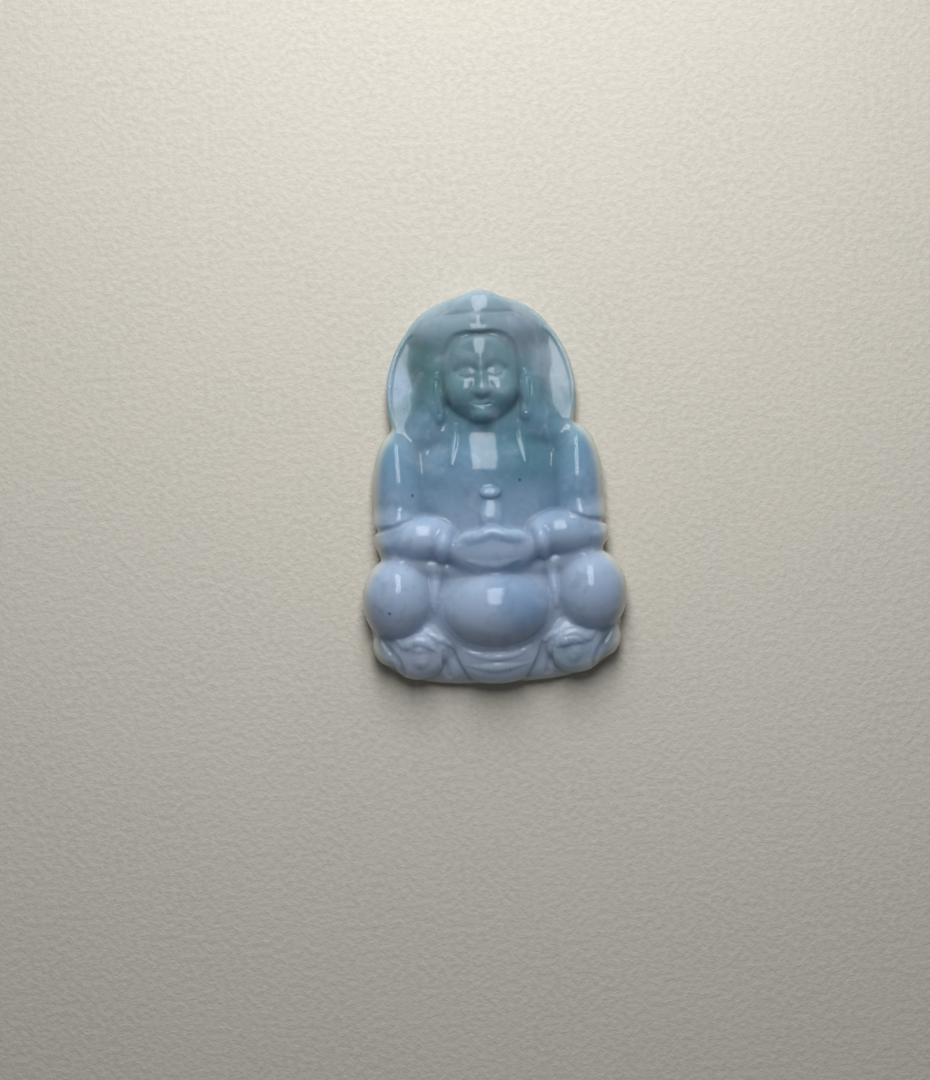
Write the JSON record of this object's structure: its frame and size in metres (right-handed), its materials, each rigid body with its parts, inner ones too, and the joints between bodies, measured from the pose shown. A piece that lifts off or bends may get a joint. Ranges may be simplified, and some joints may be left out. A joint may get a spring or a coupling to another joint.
{
  "type": "jade figurine",
  "caption": "Small flat-backed jade carving of a seated robed figure, hands in lap, before an arched halo on a lotus base.",
  "frame": {"origin": "middle of the stone's outline on its flat back", "axes": "+Z out of the carved front, +Y towards the top of the head, +X towards the figure's own left"},
  "size_m": [0.0336, 0.05, 0.0088],
  "materials": {
    "jade": "polished translucent stone, blue-green with paler lavender-grey clouds"
  },
  "bodies": {
    "root": {"face": "jade", "ushnisha": "jade", "hair": "jade", "left_ear": "jade", "right_ear": "jade", "hands": "jade", "robe_knot": "jade", "lap": "jade", "chest": "jade", "center_petal": "jade", "left_halo": "jade", "left_upper_arm": "jade", "left_forearm": "jade", "left_knee": "jade", "left_inner_petal": "jade", "left_outer_petal": "jade", "right_halo": "jade", "right_upper_arm": "jade", "right_forearm": "jade", "right_knee": "jade", "right_inner_petal": "jade", "right_outer_petal": "jade"}
  },
  "joints": []
}
